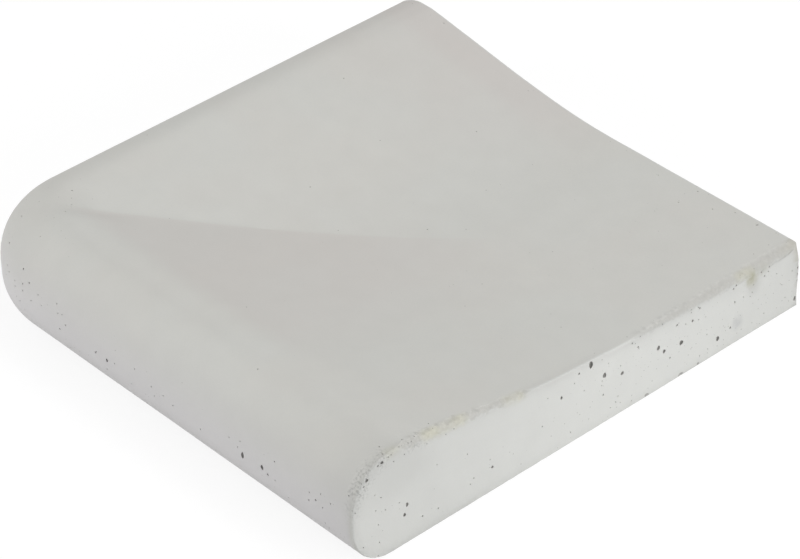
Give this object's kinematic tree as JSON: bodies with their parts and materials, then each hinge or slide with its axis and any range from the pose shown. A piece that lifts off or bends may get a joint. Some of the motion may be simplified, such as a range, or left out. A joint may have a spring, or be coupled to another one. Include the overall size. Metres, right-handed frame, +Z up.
{
  "type": "pool coping stone",
  "caption": "Square outside corner coping stone: a raised round nose on two adjacent sides ramps down to a flat slab with two plain joint faces.",
  "frame": {"origin": "middle of the square plan on the underside, the bottom centre of the bounding box", "axes": "+Z up out of the top; the pool sides with the raised nose face -X and -Y, and the joint faces face +X and +Y"},
  "size_m": [0.3, 0.3, 0.0575],
  "materials": {
    "cast_concrete": "pale grey cast concrete, smooth from the mould, with small air pores and slightly worn arrises"
  },
  "bodies": {
    "root": {"coping_stone": "cast_concrete"}
  },
  "joints": []
}
